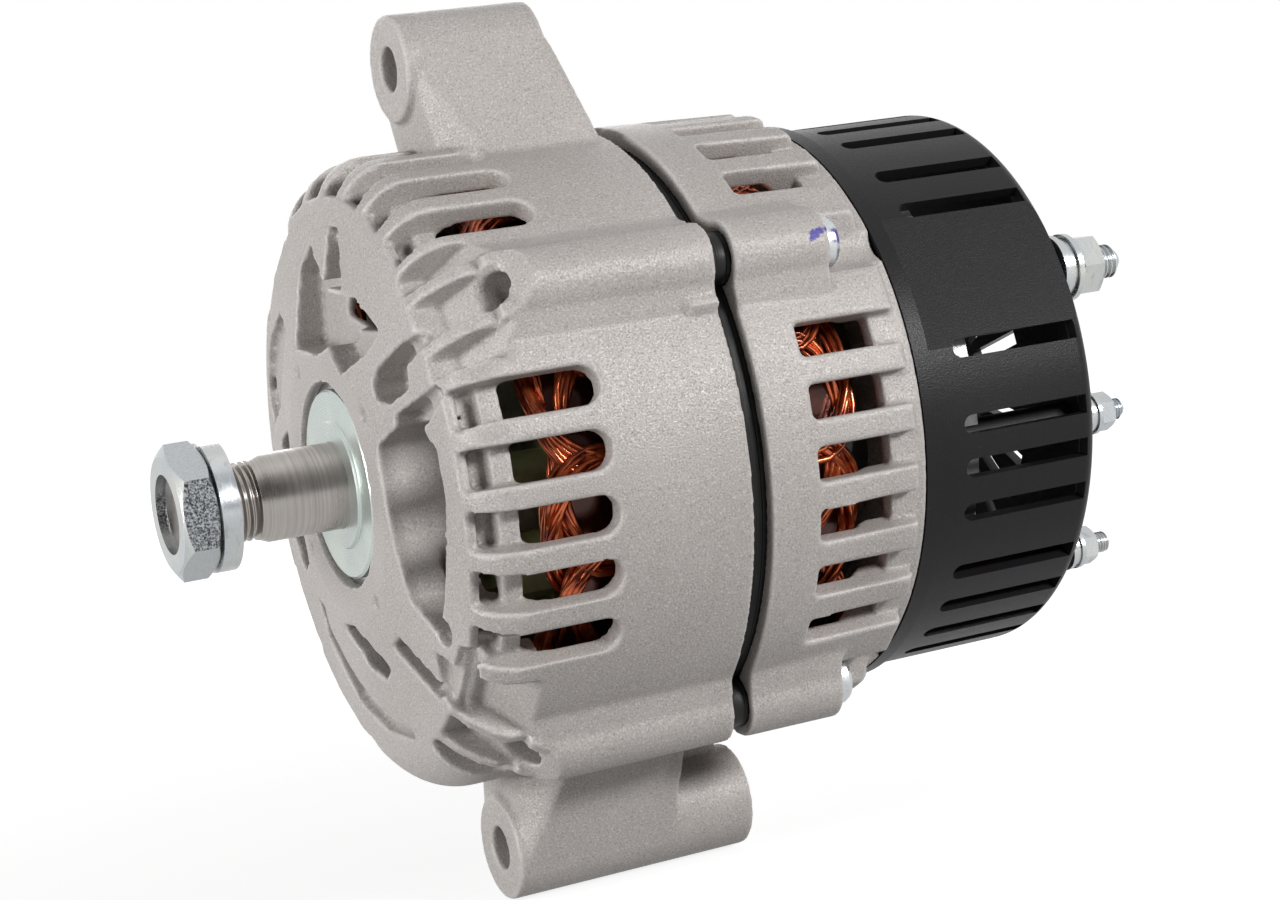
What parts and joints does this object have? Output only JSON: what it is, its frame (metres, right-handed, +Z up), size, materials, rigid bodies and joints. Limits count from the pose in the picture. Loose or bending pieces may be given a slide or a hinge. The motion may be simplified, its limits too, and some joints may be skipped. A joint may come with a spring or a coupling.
{
  "type": "alternator",
  "caption": "Belt-driven alternator: two cast brackets round a claw-pole rotor and stator, ear and long foot, threaded shaft end, black rear cover with three studs.",
  "frame": {"origin": "on the shaft axis, at the face of the seat disc that the pulley is clamped against", "axes": "+X along the shaft towards the terminals, the pulley end is -X; +Z up through the hole of the upper ear; -Y is the side that the picture shows"},
  "size_m": [0.2235, 0.1462, 0.2078],
  "materials": {
    "cast_aluminium": "shot-blasted casting",
    "lamination": "black painted steel sheets",
    "copper": "enamelled copper",
    "insulation": "insulating paper and moulded nylon",
    "zinc_steel": "bright zinc plate",
    "plated_disc": "pale passivated zinc plate",
    "shaft_steel": "turned steel",
    "bearing_steel": "ground steel",
    "cage_polymer": "moulded polyamide",
    "seal_rubber": "moulded rubber on steel",
    "pole_iron": "forged soft iron",
    "olive_passivated": "yellow-olive passivated sheet steel",
    "sink_aluminium": "pressed aluminium",
    "diode_nickel": "nickel-plated can",
    "inner_plastic": "moulded black plastic",
    "brush_carbon": "copper graphite",
    "spring_steel": "drawn wire",
    "cover_plastic": "fine-textured black moulding"
  },
  "bodies": {
    "housing": {"front_bracket": "cast_aluminium", "rear_bracket": "cast_aluminium", "stator_core": "lamination", "stator_winding": "copper", "slot_liners": "insulation", "through_bolts": "zinc_steel", "front_bearing_outer": "bearing_steel", "front_bearing_seals": "seal_rubber", "bearing_retainer": "bearing_steel", "retainer_screws": "zinc_steel", "rear_bearing_outer": "bearing_steel", "rear_bearing_seals": "seal_rubber", "negative_heat_sink": "sink_aluminium", "negative_diodes": "diode_nickel", "connection_board": "inner_plastic", "positive_heat_sink": "sink_aluminium", "positive_diodes": "diode_nickel", "stack_bushings": "insulation", "cover_posts": "zinc_steel", "post_nuts": "zinc_steel", "brush_holder": "inner_plastic", "holder_screws": "zinc_steel", "inner_spring": "spring_steel", "outer_spring": "spring_steel", "regulator": "inner_plastic", "b_stud": "zinc_steel", "w_stud": "zinc_steel", "d_stud": "zinc_steel", "stud_insulators": "inner_plastic", "b_washers": "zinc_steel", "small_washers": "zinc_steel", "b_nut": "zinc_steel", "small_nuts": "zinc_steel", "rear_cover": "cover_plastic", "cover_screws": "zinc_steel"},
    "rotor": {"shaft": "shaft_steel", "shaft_nut": "zinc_steel", "spring_washer": "zinc_steel", "seat_disc": "plated_disc", "front_bearing_inner": "bearing_steel", "rear_bearing_inner": "bearing_steel", "front_claw_pole": "pole_iron", "rear_claw_pole": "pole_iron", "field_bobbin": "insulation", "field_coil": "copper", "front_fan": "olive_passivated", "rear_fan": "olive_passivated", "slip_ring_carrier": "inner_plastic", "slip_rings": "copper"},
    "front_ball_set": {"front_bearing_balls": "bearing_steel", "front_bearing_cage": "cage_polymer"},
    "rear_ball_set": {"rear_bearing_balls": "bearing_steel", "rear_bearing_cage": "cage_polymer"},
    "inner_brush": {"inner_brush": "brush_carbon"},
    "outer_brush": {"outer_brush": "brush_carbon"}
  },
  "joints": [
    {"name": "rotor_spin", "type": "hinge", "parent": "housing", "child": "rotor", "pos_m": [0, 0, 0], "axis": [1, 0, 0], "continuous": true},
    {"name": "front_balls_spin", "type": "hinge", "parent": "housing", "child": "front_ball_set", "pos_m": [0, 0, 0], "axis": [1, 0, 0], "continuous": true},
    {"name": "rear_balls_spin", "type": "hinge", "parent": "housing", "child": "rear_ball_set", "pos_m": [0, 0, 0], "axis": [1, 0, 0], "continuous": true},
    {"name": "inner_brush_slide", "type": "slide", "parent": "housing", "child": "inner_brush", "axis": [0, 0, 1], "range_m": [0, 0.004], "stiffness_N_per_m": 300, "springref_m": -0.01, "deforming": ["inner_spring"]},
    {"name": "outer_brush_slide", "type": "slide", "parent": "housing", "child": "outer_brush", "axis": [0, 0, 1], "range_m": [0, 0.004], "stiffness_N_per_m": 300, "springref_m": -0.01, "deforming": ["outer_spring"]}
  ],
  "couplings": [
    {"joint": "front_balls_spin", "follows": "rotor_spin", "ratio": 0.3681},
    {"joint": "rear_balls_spin", "follows": "rotor_spin", "ratio": 0.3825}
  ]
}
